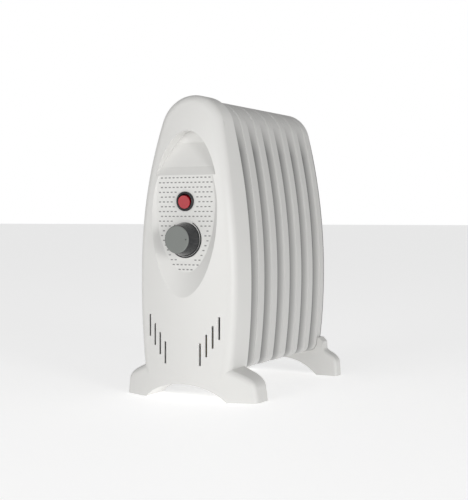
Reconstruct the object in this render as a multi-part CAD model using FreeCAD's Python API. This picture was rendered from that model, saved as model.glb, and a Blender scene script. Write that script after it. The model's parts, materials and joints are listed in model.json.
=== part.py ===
import FreeCAD, Part
import math
import os

# Oil filled radiator heater: a stack of stamped steel fins on two oil tubes, with an immersion
# element in the lower tube, a moulded front cover that carries the controls, and two moulded feet.
# Millimetres.  While the pieces are drawn, X is across, +Y runs back from the cover's front face,
# and +Z is up from the floor.  On export everything moves forward along Y by FRAME_SHIFT_Y, so
# that the origin is the bottom centre of the whole heater's bounding box.

V = FreeCAD.Vector

# ---------------------------------------------------------------- driving dimensions

# radiator fins
FIN_COUNT = 6
FIN_PITCH = 36.8
SHEET = 0.9
FIN_HALF_WIDTH = 62.3
FIN_WIDEST_Z = 140.0
FIN_BELOW_COVER_TOP = 3.5
FIN_BOTTOM_Z = 33.0
FIN_DOME_R = 40.0
FIN_CORNER_R = 12.0
SEAM_BEVEL = 1.6
SEAM_BEVEL_DEPTH = 2.2
FLANGE_DEPTH = 16.2
FLANGE_GAP = 0.5
TUCK = 6.5
TUCK_STEPS = 5
CHANNEL_HALF_WIDTH = 21.0
CHANNEL_DEPTH = 8.0
HUB_R = 17.0
LOWER_HUB_Z = 64.0
UPPER_HUB_BELOW_TOP = 45.0

# heating element
PLUG_R = 13.5
BOSS_WALL = 6.5
BOSS_LENGTH = 9.0
BOSS_AHEAD_OF_HUB = 2.0
FLANGE_SETBACK = 1.0
FLANGE_THICK = 5.0
GASKET_THICK = 1.2
SHEATH_R = 3.2
SHEATH_SPACING = 13.0
COLD_PIN_R = 1.4
COLD_PIN_OUT = 11.0
ELEMENT_END_GAP = 16.0
BEAD_LENGTH = 4.0
FILLER_R = 4.0
FILLER_LENGTH = 3.0
FILLER_HEAD_R = 6.5
FILLER_HEAD = 3.0

# front cover
RIM_Y = 54.0
RIM_TO_FIRST_SEAM = 22.5
WALL = 2.2
COVER_HALF_WIDTH_FRONT = 66.3
COVER_HALF_WIDTH_RIM = 64.2
COVER_WIDEST_Z = 135.0
COVER_TOP_Z = 360.5
COVER_BOTTOM_Z = 26.5
COVER_DOME_R_FRONT = 43.0
COVER_DOME_R_RIM = 41.0
COVER_CORNER_R = 18.0
CROWN_R = 210.0
LEAN_START_Z = 180.0
LEAN_AT_TOP = 21.5
FRONT_STEPS = 8
EDGE_FILLET = 12.0
TRIM_LENGTH = 60.0

# recessed control panel and finger pocket
PANEL_Y = 9.0
EGG_WIDEST_Z = 225.0
EGG_HALF_WIDTH = 52.5
EGG_TOP_Z = 306.0
EGG_BOTTOM_Z = 121.0
PANEL_WIDEST_Z = 234.0
PANEL_HALF_WIDTH = 40.0
PANEL_TOP_Z = 300.0
PANEL_BOTTOM_Z = 150.0
POCKET_WIDEST_Z = 225.0
POCKET_HALF_WIDTH = 44.6
POCKET_TOP_Z = 318.0
POCKET_DRAFT = 3.5
POCKET_LEDGE_Z = 275.0
POCKET_LEDGE_Y = 15.0
POCKET_FOOT_Z = 265.0
POCKET_BACK_Y = 26.0
POCKET_BACK_Z = 304.0
POCKET_TOP_DROP = 1.0
POCKET_BOTTOM_Z = 119.0

# ventilation slots: four on each side, stepping outwards and upwards
SLOT_COUNT = 4
SLOT_FIRST_X = 23.5
SLOT_PITCH_X = 7.8
SLOT_RISE = 10.4
SLOT_BOTTOM_Z = 42.2
SLOT_LENGTH = 26.2
SLOT_WIDTH = 2.6

# feet
FOOT_HALF_WIDTH = 89.6
FOOT_END_X = 87.3
FOOT_END_Z = 17.0
FOOT_SHOULDER_X = 85.9
FOOT_SHOULDER_Z = 27.5
FOOT_FLARE_X = 74.0
FOOT_FLARE_Z = 31.8
FOOT_NECK_X = 64.5
FOOT_NECK_Z = 36.0
FOOT_ROOT_X = 55.0
FOOT_DEPTH = 46.5
FOOT_SETBACK = 0.6
FOOT_CORNER_R = 8.0
ARCH = ((55.0, 0.0), (46.0, 8.3), (30.0, 18.8), (0.0, 18.8))
REAR_ARCH = ((55.5, 0.0), (44.0, 10.5), (30.0, 21.8), (0.0, 21.8))
REAR_FOOT_HALF_WIDTH = 86.0
REAR_FOOT_END_X = 84.8
REAR_FOOT_END_Z = 18.0
REAR_SHOULDER_X = 84.0
REAR_SHOULDER_Z = 29.2
REAR_FLARE_X = 67.5
REAR_FLARE_Z = 31.5
REAR_NECK_X = 66.2
REAR_NECK_Z = 36.5
REAR_FOOT_DEPTH = 15.0
REAR_FOOT_BEHIND_FIN = 4.2
REAR_CORNER_R = 4.0
TOWER_HALF_WIDTH = 65.6
TOWER_SHOULDER_Z = 46.0
TOWER_TOP_X = 60.0
TOWER_TOP_Z = 51.5
FOOT_POCKET_WALL = 3.0
FOOT_SCREW_X = 30.0
FOOT_SCREW_SEAT = 4.0
FOOT_SCREW_LENGTH = 9.0
HEAD_ROOM = 0.4
SCREW_SHORT = 4.0
LEG_POCKET_SETBACK = 20.0
REAR_FOOT_CLEARANCE = 0.4
REAR_WINDOW_HALF_WIDTH = 44.0
REAR_PANEL_TOP_Z = 33.0
BRACKET_HALF_WIDTH = 16.0
BRACKET_THICK = 1.5
BRACKET_JOG_Z = 49.0
BRACKET_TOP_Z = 78.0
BRACKET_BOTTOM_Z = 24.2
REAR_SCREW_X = 9.0
REAR_SCREW_Z = 28.6
FOOT_STUD_R = 2.5
NUT_R = 4.6
NUT_THICK = 4.0
STUD_PROUD = 1.5
NUT_SIDES = 6

# round rocker switch
SWITCH_Z = 234.0
ROCKER_GAP = 0.95
PIN_HALF = 2.4
SOCKET_R = 2.0
SPRING_START = 1.0
SPRING_PITCH = 0.8
SPRING_LENGTH = 2.4
SPRING_R = 0.75
SPRING_WIRE_R = 0.2
SPRING_GAP = 0.05
PLUNGER_R = 1.1
PLUNGER_TIP = 8.4
LAMP_R = 1.6
LAMP_HALF = 3.0
LAMP_RISE = 3.9
LEVER_PIVOT = 11.4
LEVER_KNUCKLE_R = 1.0
LEVER_HALF_WIDTH = 2.5
TAB_SPACING = 6.3
TAB_START = 12.7
TAB_END = 24.0
TAB_WIDTH = 4.8
TAB_THICK = 0.8
CONTACT_R = 1.2
CONTACT_THICK = 0.6
SWITCH_BACK_WALL = 2.0
BEZEL_LIP = 1.55
BEZEL_THICK = 2.0
BARREL_R = 9.95
BARREL_LENGTH = 16.0
BARREL_WALL = 1.05
SEAT_MARGIN = 1.0
ROCKER_ROOM = 1.15
ROCKER_FRONT = 3.8
ROCKER_BACK = 5.5
ROCKER_WALL = 1.2
ROCKER_PIVOT = 2.0
ROCKER_PIN_R = 1.2
ROCKER_TILT = 9.0
LEVER_TILT = 6.0
RUNNING_FIT = 0.06

# control knob and thermostat
KNOB_Z = 189.5
KNOB_BASE_R = 20.0
KNOB_FACE_R = 16.2
KNOB_FACE_Y = -12.0
KNOB_WALL = 2.0
KNOB_GAP = 0.8
KNOB_EDGE_R = 2.0
DIAL_BOSS_MARGIN = 3.0
DIAL_BOSS_RISE = 1.0
SPINDLE_R = 3.0
SPINDLE_FLAT = 1.6
SPINDLE_END_Y = 29.0
KNOB_HUB_WALL = 2.0
CLIP_WIDTH = 3.0
CLIP_THICK = 0.6
STAT_HALF_WIDTH = 18.0
STAT_RISE = 10.0
STAT_ARM = 14.0
STACK_R = 5.0
STACK_Z = 172.0
BUSH_WALL = 2.0
BUSH_COLLAR = 1.5
COLLAR_THICK = 2.0
BUSH_LENGTH = 7.0
STRIP_GAP = 0.8
STRIP_THICK = 0.7
STRIP_WIDTH = 8.0
STRIP_TOP_Z = 207.0
BLADE_GAP = 2.6
STAT_TAB_Z = 158.0
STAT_SCREW_SPACING = 28.0
STAT_SCREW_PROUD = 3.0
STAT_PLATE = 1.2
STAT_MARGIN = 2.0
SPINDLE_CLEARANCE = 0.4

# mounting plate, screws and cord inlet
PLATE_FROM_RIM = 4.0
PLATE_CLEARANCE = 0.4
SCREW_R = 1.6
SCREW_HEAD_R = 3.2
SCREW_HEAD = 2.2
SLOT_SHARE = 0.6
QUARTER_TURN = 90
SCREW_DEPTH = 14.0
HOLE_FIT = 0.05
BOSS_POST_R = 4.2
UPPER_POST_X = 37.0
UPPER_POST_Z = 300.0
LOWER_POST_X = 53.5
LOWER_POST_Z = 57.0
STANDOFF_X = 34.0
STANDOFF_Z = 200.0
STANDOFF_R = 3.0
STANDOFF_STUD_R = 1.8
CORD_R = 3.6
GLAND_WALL = 2.9
GLAND_LIP = 2.5
GLAND_CATCH = 1.5
LIP_GAP = 0.3
CATCH_GAP = 0.5
CATCH_THICK = 2.0
GLAND_Y = 36.0
GLAND_Z = 84.0
GLAND_OUT = 3.2
GLAND_LENGTH = 10.0
BLOCK_X = -38.0
BLOCK_Z = 105.0
BLOCK_PITCH = 8.0
BLOCK_DEPTH = 12.0
BLOCK_HALF = 7.0
BLOCK_END = 5.6
WELL_R = 2.286
WELL_SCREW_R = 2.13
CUTOUT_TAB_X = 4.8
SWITCH_SIDE_X = 27.86
CUTOUT_R = 8.0
CUTOUT_X = 26.0
CUTOUT_Z = 128.0
CUTOUT_DEPTH = 8.0
CUTOUT_TAB = 6.0
WIRE_R = 1.1
LEAD_OUT = 11.0
WIRE_BEND = 4.5

# how far a cutter runs past the face that it opens
PAST = 1.0
WELL_PAST = 6.0

# ---------------------------------------------------------------- sizes that follow from them

FIRST_SEAM_Y = RIM_Y + RIM_TO_FIRST_SEAM
FIN_TOP_Z = COVER_TOP_Z - FIN_BELOW_COVER_TOP
LEAN = LEAN_AT_TOP / (COVER_TOP_Z - LEAN_START_Z) ** 2
UPPER_HUB_Z = FIN_TOP_Z - UPPER_HUB_BELOW_TOP
BOSS_R = PLUG_R + BOSS_WALL
FLANGE_R = BOSS_R - FLANGE_SETBACK
BOSS_Y = FIRST_SEAM_Y - FIN_PITCH / 2.0 - BOSS_AHEAD_OF_HUB
SWITCH_BORE_R = BARREL_R - BARREL_WALL
BEZEL_R = BARREL_R + BEZEL_LIP
ROCKER_R = SWITCH_BORE_R - ROCKER_ROOM
DIAL_BOSS_R = KNOB_BASE_R + DIAL_BOSS_MARGIN
KNOB_HUB_R = SPINDLE_R + KNOB_HUB_WALL
BUSH_R = SPINDLE_R + BUSH_WALL
GLAND_R = CORD_R + GLAND_WALL
GLAND_FLANGE_R = GLAND_R + GLAND_LIP
LAST_SEAM_Y = FIRST_SEAM_Y + (FIN_COUNT - 1) * FIN_PITCH
FIN_BACK_Y = LAST_SEAM_Y + FLANGE_DEPTH
TUCK_DEPTH = FIN_PITCH - FLANGE_DEPTH - FLANGE_GAP
REAR_FOOT_BACK_Y = FIN_BACK_Y + REAR_FOOT_BEHIND_FIN
PLATE_Y = RIM_Y - PLATE_FROM_RIM
FRAME_SHIFT_Y = -(KNOB_FACE_Y + REAR_FOOT_BACK_Y) / 2.0
FOOT_BACK_Y = FOOT_SETBACK + FOOT_DEPTH
FOOT_SCREW_Y = FOOT_SETBACK + FOOT_DEPTH * 0.6
SIDE_REACH = 4 * COVER_HALF_WIDTH_FRONT

nodes = {}


# ---------------------------------------------------------------- drawing helpers

def cylinder_y(radius, y0, y1, x=0.0, z=0.0):
    """A cylinder whose axis runs along Y."""
    return Part.makeCylinder(radius, y1 - y0, V(x, y0, z), V(0, 1, 0))


def cylinder_x(radius, x0, x1, y=0.0, z=0.0):
    """A cylinder whose axis runs along X."""
    return Part.makeCylinder(radius, x1 - x0, V(x0, y, z), V(1, 0, 0))


def cylinder_z(radius, z0, z1, x=0.0, y=0.0):
    """A cylinder whose axis runs along Z."""
    return Part.makeCylinder(radius, z1 - z0, V(x, y, z0), V(0, 0, 1))


def ring_y(outer, inner, y0, y1, x=0.0, z=0.0):
    """A ring about an axis along Y."""
    return cylinder_y(outer, y0, y1, x, z).cut(cylinder_y(inner, y0 - 1, y1 + 1, x, z))


def box(x0, x1, y0, y1, z0, z1):
    """A box between two opposite corners."""
    return Part.makeBox(x1 - x0, y1 - y0, z1 - z0, V(x0, y0, z0))


def fuse(first, *others):
    """Join solids and clean up their seams."""
    return first.fuse(list(others)).removeSplitter()


def mirrored(shape):
    """The shape with its copy on the other side of the middle plane."""
    return [shape, shape.mirror(V(0, 0, 0), V(1, 0, 0))]


def prism_y(wire, length):
    """Extrude a closed wire in the XZ plane along +Y."""
    return Part.Face(wire).extrude(V(0, length, 0))


def dome_outline(y, half_width, widest_z, top_z, bottom_z, dome_r, corner_r):
    """The shared arch outline: flat bottom, round corners, long side arcs and a round top.

    Every arc is tangent to the next.  The side arc's radius follows from the other sizes."""
    dome_z = top_z - dome_r
    rise = dome_z - widest_z
    side_r = (rise ** 2 + half_width ** 2 - dome_r ** 2) / (2.0 * (half_width - dome_r))
    side_x = half_width - side_r
    angle = math.atan2(rise, -side_x)
    shoulder = V(dome_r * math.cos(angle), y, dome_z + dome_r * math.sin(angle))
    corner_z = bottom_z + corner_r
    drop = widest_z - corner_z
    corner_x = side_x + math.sqrt((side_r - corner_r) ** 2 - drop ** 2)
    turn = math.atan2(-drop, corner_x - side_x)
    hip = V(side_x + side_r * math.cos(turn), y, widest_z + side_r * math.sin(turn))
    half = (turn - math.pi / 2.0) / 2.0
    knee = V(corner_x + corner_r * math.cos(half), y, corner_z + corner_r * math.sin(half))
    waist = V(half_width, y, widest_z)
    toe = V(corner_x, y, bottom_z)
    crown = V(0, y, top_z)

    def left(p):
        return V(-p.x, p.y, p.z)

    return Part.Wire([
        Part.LineSegment(left(toe), toe).toShape(),
        Part.Arc(toe, knee, hip).toShape(),
        Part.Arc(hip, waist, shoulder).toShape(),
        Part.Arc(shoulder, crown, left(shoulder)).toShape(),
        Part.Arc(left(shoulder), left(waist), left(hip)).toShape(),
        Part.Arc(left(hip), left(knee), left(toe)).toShape(),
    ])


def fin_outline(y, inset=0.0, tuck=0.0):
    """The fin's outline, drawn in by an inset all round and by a tuck at the sides and bottom."""
    return dome_outline(y, FIN_HALF_WIDTH - inset - tuck, FIN_WIDEST_Z, FIN_TOP_Z - inset,
                        FIN_BOTTOM_Z + inset + tuck, FIN_DOME_R - inset, FIN_CORNER_R - inset)


def cover_outline(y, inset=0.0, extra=0.0):
    """The cover's outline at a distance from the front, with its slight taper to the rim.

    The extra length goes on below the cover's own bottom edge."""
    share = y / RIM_Y
    width = COVER_HALF_WIDTH_FRONT + share * (COVER_HALF_WIDTH_RIM - COVER_HALF_WIDTH_FRONT)
    dome = COVER_DOME_R_FRONT + share * (COVER_DOME_R_RIM - COVER_DOME_R_FRONT)
    return dome_outline(y, width - inset, COVER_WIDEST_Z, COVER_TOP_Z - inset,
                        COVER_BOTTOM_Z + inset - extra, dome - inset, COVER_CORNER_R - inset)


def egg(y, widest_z, half_width, top_z, bottom_z):
    """An egg outline: two half ellipses that share the widest level."""
    middle = V(0, y, widest_z)
    side = V(half_width, y, widest_z)
    edges = []
    for tip in (V(0, y, top_z), V(0, y, bottom_z)):
        long_r = abs(tip.z - widest_z)
        if long_r > half_width:
            ellipse = Part.Ellipse(tip, side, middle)
        else:
            ellipse = Part.Ellipse(side, tip, middle)
        ends = [ellipse.parameter(V(-half_width, y, widest_z)), ellipse.parameter(side)]
        arc = Part.ArcOfEllipse(ellipse, ends[0], ends[1])
        if (arc.value((arc.FirstParameter + arc.LastParameter) / 2.0) - tip).Length > 1.0:
            arc = Part.ArcOfEllipse(ellipse, ends[1], ends[0])
        edges.append(arc.toShape())
    return Part.Wire(Part.__sortEdges__(edges))


def front_block(setback, z0, z1, back_y):
    """Everything behind the crowned front face, which leans back towards the top."""
    sections = []
    half = COVER_HALF_WIDTH_FRONT + FOOT_DEPTH
    sag = CROWN_R - math.sqrt(CROWN_R ** 2 - half ** 2)
    for i in range(FRONT_STEPS + 1):
        z = z0 + (z1 - z0) * i / FRONT_STEPS
        y = setback + LEAN * max(z - LEAN_START_Z, 0.0) ** 2
        arc = Part.Arc(V(-half, y + sag, z), V(0, y, z), V(half, y + sag, z)).toShape()
        corners = [V(half, y + sag, z), V(half, back_y, z), V(-half, back_y, z), V(-half, y + sag, z)]
        lines = [Part.LineSegment(a, b).toShape() for a, b in zip(corners, corners[1:])]
        sections.append(Part.Wire([arc] + lines))
    return Part.makeLoft(sections, True, False)


def tube_along(points, radius, bend):
    """A round wire along straight runs joined by tangent arcs."""
    edges = []
    start = points[0]
    for before, corner, after in zip(points, points[1:], points[2:]):
        to_back = (before - corner).normalize()
        to_front = (after - corner).normalize()
        half = to_back.getAngle(to_front) / 2.0
        reach = bend / math.tan(half)
        first = corner + to_back * reach
        last = corner + to_front * reach
        middle_way = (to_back + to_front).normalize()
        middle = corner + middle_way * (bend / math.sin(half) - bend)
        edges.append(Part.LineSegment(start, first).toShape())
        edges.append(Part.Arc(first, middle, last).toShape())
        start = last
    edges.append(Part.LineSegment(start, points[-1]).toShape())
    path = Part.Wire(edges)
    ring = Part.Wire(Part.makeCircle(radius, points[0], points[1] - points[0]))
    return path.makePipeShell([ring], True, True)


def screw_y(x, y_head, z, length, direction):
    """A pan head screw along Y; the head's flat underside is at y_head."""
    head = cylinder_y(SCREW_HEAD_R, min(y_head, y_head - direction * SCREW_HEAD),
                      max(y_head, y_head - direction * SCREW_HEAD), x, z)
    tip = y_head + direction * length
    shank = cylinder_y(SCREW_R, min(y_head, tip), max(y_head, tip), x, z)
    slot_y = y_head - direction * SCREW_HEAD
    slot_half = SCREW_HEAD / 2.0
    slot = box(x - SCREW_HEAD_R * SLOT_SHARE, x + SCREW_HEAD_R * SLOT_SHARE, slot_y - slot_half, slot_y + slot_half,
               z - SCREW_R / 4.0, z + SCREW_R / 4.0)
    return fuse(head, shank).cut([slot, slot.rotated(V(x, slot_y, z), V(0, 1, 0), QUARTER_TURN)])


def screw_z(x, y, z_head, length, direction):
    """A pan head screw along Z; the head's flat underside is at z_head."""
    turned = screw_y(0, 0, 0, length, 1)
    turned.rotate(V(0, 0, 0), V(1, 0, 0), QUARTER_TURN * direction)
    turned.translate(V(x, y, z_head))
    return turned


def keep(name, shape):
    """File a finished piece under its name."""
    nodes[name] = shape


# ---------------------------------------------------------------- radiator fins

def obround(y0, y1, half_width):
    """The upright oil channel that joins the lower and upper hubs."""
    bottom = cylinder_y(half_width, y0, y1, 0, LOWER_HUB_Z)
    top = cylinder_y(half_width, y0, y1, 0, UPPER_HUB_Z)
    return fuse(bottom, top, box(-half_width, half_width, y0, y1, LOWER_HUB_Z, UPPER_HUB_Z))


def flange_shell(seam_y, side, tuck_depth, tuck):
    """The turned rim of a fin plate, on one side of the seam (side is -1 or +1)."""
    steps = TUCK_STEPS if tuck else 1
    stations = [(0.0, SEAM_BEVEL, 0.0)]
    for i in range(steps + 1):
        share = i / steps
        away = SEAM_BEVEL_DEPTH + share * (tuck_depth - SEAM_BEVEL_DEPTH)
        stations.append((away, 0.0, tuck * share ** 2))
    outer = [fin_outline(seam_y + side * a, inset, t) for a, inset, t in stations]
    inner = [fin_outline(seam_y + side * a, inset + SHEET, t) for a, inset, t in stations]
    return Part.makeLoft(outer, True, True).cut(Part.makeLoft(inner, True, True))


def fin_plate(seam_y, side, lower_open, upper_open):
    """One stamped plate: flat web, pressed oil channel, hub collars and turned rim."""
    def span(near, far):
        low, high = sorted((seam_y + side * near, seam_y + side * far))
        return low, high

    if side < 0:
        rim = flange_shell(seam_y, side, TUCK_DEPTH, TUCK)
    else:
        rim = flange_shell(seam_y, side, FLANGE_DEPTH, 0.0)
    y0, y1 = span(0.0, SHEET)
    web = prism_y(fin_outline(y0, SEAM_BEVEL + SHEET / 2.0), y1 - y0)
    solid = [web, obround(*span(0.0, CHANNEL_DEPTH), CHANNEL_HALF_WIDTH)]
    hollow = [obround(*span(-SHEET, CHANNEL_DEPTH - SHEET), CHANNEL_HALF_WIDTH - SHEET)]
    for is_open, z in ((lower_open, LOWER_HUB_Z), (upper_open, UPPER_HUB_Z)):
        if is_open:
            solid.append(cylinder_y(HUB_R + SHEET, *span(0.0, FIN_PITCH / 2.0), 0, z))
            hollow.append(cylinder_y(HUB_R, *span(-SHEET, FIN_PITCH / 2.0 + 1), 0, z))
    return fuse(rim, *solid).cut(hollow)


def make_fins():
    """The stack of fins, each two plates seam welded face to face."""
    for i in range(FIN_COUNT):
        seam = FIRST_SEAM_Y + i * FIN_PITCH
        is_first = i == 0
        is_last = i == FIN_COUNT - 1
        front = fin_plate(seam, -1, True, not is_first)
        back = fin_plate(seam, 1, not is_last, not is_last)
        if is_first:
            front = front.cut(cylinder_y(BOSS_R, BOSS_Y - PAST, BOSS_Y + BOSS_LENGTH, 0, LOWER_HUB_Z))
        if is_last:
            back = back.cut(cylinder_y(FILLER_R, seam, seam + CHANNEL_DEPTH + 1, 0, UPPER_HUB_Z))
        keep("fin_%d_front_plate" % (i + 1), front)
        keep("fin_%d_back_plate" % (i + 1), back)
    cap_y = LAST_SEAM_Y + CHANNEL_DEPTH
    plug = cylinder_y(FILLER_R, cap_y - SHEET - FILLER_LENGTH, cap_y, 0, UPPER_HUB_Z)
    head = cylinder_y(FILLER_HEAD_R, cap_y, cap_y + FILLER_HEAD, 0, UPPER_HUB_Z)
    keep("oil_filler_plug", fuse(plug, head))


# ---------------------------------------------------------------- immersion heating element

def make_element():
    """Boss, screwed plug, gasket, U shaped sheath with its cold pins, and insulating beads."""
    y0 = BOSS_Y
    keep("element_boss", ring_y(BOSS_R, PLUG_R, y0, y0 + BOSS_LENGTH, 0, LOWER_HUB_Z))
    keep("element_gasket", ring_y(FLANGE_R - FLANGE_SETBACK, PLUG_R, y0 - GASKET_THICK, y0, 0, LOWER_HUB_Z))
    flange_y = y0 - GASKET_THICK - FLANGE_THICK
    half = SHEATH_SPACING / 2.0
    legs = [LOWER_HUB_Z - half, LOWER_HUB_Z + half]
    flange = fuse(cylinder_y(FLANGE_R, flange_y, flange_y + FLANGE_THICK, 0, LOWER_HUB_Z),
                  cylinder_y(PLUG_R, flange_y, y0 + BOSS_LENGTH + PAST, 0, LOWER_HUB_Z))
    holes = [cylinder_y(SHEATH_R, flange_y - PAST, y0 + BOSS_LENGTH + 2 * PAST, 0, z) for z in legs]
    keep("element_flange", flange.cut(holes))
    far_y = FIN_BACK_Y - ELEMENT_END_GAP - half
    path = Part.Wire([
        Part.LineSegment(V(0, flange_y, legs[0]), V(0, far_y, legs[0])).toShape(),
        Part.Arc(V(0, far_y, legs[0]), V(0, far_y + half, LOWER_HUB_Z), V(0, far_y, legs[1])).toShape(),
        Part.LineSegment(V(0, far_y, legs[1]), V(0, flange_y, legs[1])).toShape(),
    ])
    start = Part.Wire(Part.makeCircle(SHEATH_R, V(0, flange_y, legs[0]), V(0, 1, 0)))
    keep("heating_element", path.makePipeShell([start], True, True))
    bead_y = flange_y - BEAD_LENGTH
    beads = [ring_y(SHEATH_R, COLD_PIN_R, bead_y, flange_y, 0, z) for z in legs]
    keep("element_insulators", Part.makeCompound(beads))
    pins = [cylinder_y(COLD_PIN_R, flange_y - COLD_PIN_OUT, flange_y, 0, z) for z in legs]
    keep("element_terminal_pins", Part.makeCompound(pins))


# ---------------------------------------------------------------- front cover

def cover_body(inset):
    """The cover's outer form, or its hollow when drawn in by the wall.

    The soft edge round the front dies out at the foot, so a longer body is rounded first and
    then trimmed to the real bottom."""
    back_y = RIM_Y if inset == 0.0 else RIM_Y + PAST
    long_ends = [cover_outline(y, inset, TRIM_LENGTH) for y in (-PAST, back_y)]
    block = front_block(inset, COVER_BOTTOM_Z - TRIM_LENGTH - WELL_PAST, COVER_TOP_Z + WELL_PAST,
                        back_y + WELL_PAST)
    body = Part.makeLoft(long_ends, True, True).common(block)
    front = min(body.Faces, key=lambda f: f.CenterOfMass.y)
    body = body.makeFillet(EDGE_FILLET - inset, front.OuterWire.Edges)
    ends = [cover_outline(y, inset) for y in (-PAST, back_y)]
    return body.common(Part.makeLoft(ends, True, True))


def dish_cutter(grow):
    """The shallow flared dish down to the flat control panel."""
    flare = (PANEL_Y + WELL_PAST) / PANEL_Y

    def out(near, far):
        return near + (far - near) * flare

    inner = egg(PANEL_Y + grow, PANEL_WIDEST_Z, PANEL_HALF_WIDTH + grow, PANEL_TOP_Z + grow,
                PANEL_BOTTOM_Z - grow)
    outer = egg(-WELL_PAST, out(PANEL_WIDEST_Z, EGG_WIDEST_Z),
                out(PANEL_HALF_WIDTH, EGG_HALF_WIDTH) + grow, out(PANEL_TOP_Z, EGG_TOP_Z) + grow,
                out(PANEL_BOTTOM_Z, EGG_BOTTOM_Z) - grow)
    return Part.makeLoft([inner, outer], True, True)


def pocket_cutter(grow):
    """The finger pocket at the top of the recess, under the cover's upper edge."""
    mouth = egg(-WELL_PAST, POCKET_WIDEST_Z, POCKET_HALF_WIDTH + POCKET_DRAFT + grow, POCKET_TOP_Z + grow,
                POCKET_BOTTOM_Z)
    back = egg(POCKET_BACK_Y + grow, POCKET_WIDEST_Z, POCKET_HALF_WIDTH - POCKET_DRAFT + grow,
               POCKET_TOP_Z - POCKET_TOP_DROP + grow, POCKET_BOTTOM_Z)
    walls = Part.makeLoft([mouth, back], True, True)
    foot_z = POCKET_FOOT_Z - grow / 2.0
    profile = [(-WELL_PAST, foot_z), (PANEL_Y + grow, foot_z),
               (POCKET_LEDGE_Y + grow, POCKET_LEDGE_Z - grow / 2.0), (POCKET_BACK_Y + grow, POCKET_BACK_Z),
               (POCKET_BACK_Y + grow, COVER_TOP_Z), (-WELL_PAST, COVER_TOP_Z)]
    points = [V(-FOOT_HALF_WIDTH, y, z) for y, z in profile]
    face = Part.Face(Part.makePolygon(points + points[:1]))
    return walls.common(face.extrude(V(2 * FOOT_HALF_WIDTH, 0, 0)))


def slot_cutters():
    """Through slots for the air, stepping outwards and upwards on both sides."""
    cutters = []
    for i in range(SLOT_COUNT):
        x = SLOT_FIRST_X + i * SLOT_PITCH_X
        z = SLOT_BOTTOM_Z + i * SLOT_RISE
        half = SLOT_WIDTH / 2.0
        cutters += mirrored(box(x - half, x + half, -WELL_PAST, RIM_Y / 2.0, z, z + SLOT_LENGTH))
    return cutters


def post_places():
    """The four screw posts inside the cover."""
    return [(sx * x, z) for sx in (-1, 1)
            for x, z in ((UPPER_POST_X, UPPER_POST_Z), (LOWER_POST_X, LOWER_POST_Z))]


def make_cover():
    """The moulded cover: shell, recess skin, flat seats, posts, slots and bores."""
    outer = cover_body(0.0)
    cavity = cover_body(WALL)
    skin = fuse(dish_cutter(WALL), pocket_cutter(WALL)).common(outer)
    posts = [cylinder_y(BOSS_POST_R, 0, PLATE_Y, x, z).common(cavity) for x, z in post_places()]
    shell = outer.cut(cavity).fuse([skin] + posts)
    shell = shell.cut(dish_cutter(0.0).fuse(pocket_cutter(0.0)))
    skin_back = PANEL_Y + WALL
    dial = cylinder_y(DIAL_BOSS_R, PANEL_Y - DIAL_BOSS_RISE, skin_back, 0, KNOB_Z)
    seat = cylinder_y(BEZEL_R + SEAT_MARGIN, PANEL_Y, skin_back, 0, SWITCH_Z)
    shell = shell.fuse([dial, seat])
    past_skin = skin_back + WELL_PAST
    half = STAT_SCREW_SPACING / 2.0
    room = STAT_HALF_WIDTH + PAST
    cutters = slot_cutters()
    cutters.append(box(-room, room, skin_back, past_skin, STACK_Z - STACK_R - STAT_MARGIN - PAST,
                       KNOB_Z + STAT_RISE + PAST))
    cutters.append(cylinder_y(BARREL_R + RUNNING_FIT, -WELL_PAST, past_skin, 0, SWITCH_Z))
    cutters.append(cylinder_y(SPINDLE_R + SPINDLE_CLEARANCE, -WELL_PAST, past_skin, 0, KNOB_Z))
    cutters += [cylinder_y(SCREW_R, -WELL_PAST, past_skin, x, KNOB_Z) for x in (-half, half)]
    cutters += [cylinder_y(SCREW_R, PLATE_Y - SCREW_DEPTH, PLATE_Y + PAST, x, z) for x, z in post_places()]
    cutters.append(cylinder_x(GLAND_R, -SIDE_REACH, -COVER_HALF_WIDTH_RIM / 2.0, GLAND_Y, GLAND_Z))
    cutters += [cylinder_z(SCREW_R, 0, COVER_BOTTOM_Z + WALL + PAST, x, FOOT_SCREW_Y)
                for x in (-FOOT_SCREW_X, FOOT_SCREW_X)]
    keep("front_cover", shell.cut(cutters).removeSplitter())
    return outer


# ---------------------------------------------------------------- feet

def curve_xz(points, side):
    """A smooth curve in the XZ plane through its pulling points, on one side of the middle."""
    curve = Part.BezierCurve()
    curve.setPoles([V(side * x, 0, z) for x, z in points])
    return curve.toShape()


def foot_profile(arch, half_width, flare, upper):
    """Closed outline of a foot: arch, floor, end, flared shoulder and the points above it."""
    edges = []
    for side in (-1, 1):
        edges += [curve_xz(arch, side), curve_xz(flare, side)]
        floor = [V(side * arch[0][0], 0, 0), V(side * half_width, 0, 0),
                 V(side * flare[0][0], 0, flare[0][1])]
        rise = [V(side * x, 0, z) for x, z in [flare[-1]] + upper]
        edges += [Part.LineSegment(a, b).toShape() for a, b in zip(floor, floor[1:])]
        edges += [Part.LineSegment(a, b).toShape() for a, b in zip(rise, rise[1:])]
    top_x, top_z = ([flare[-1]] + upper)[-1]
    edges.append(Part.LineSegment(V(-top_x, 0, top_z), V(top_x, 0, top_z)).toShape())
    return Part.Wire(Part.__sortEdges__(edges))


def leg_pockets(half_width, y0, y1):
    """The moulded legs are hollow from below."""
    inner = ARCH[0][0] + FOOT_POCKET_WALL
    outer = half_width - FOOT_CORNER_R
    top = FOOT_END_Z - FOOT_POCKET_WALL
    return mirrored(box(inner, outer, y0 + FOOT_POCKET_WALL, y1 - FOOT_POCKET_WALL, -PAST, top))


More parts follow.
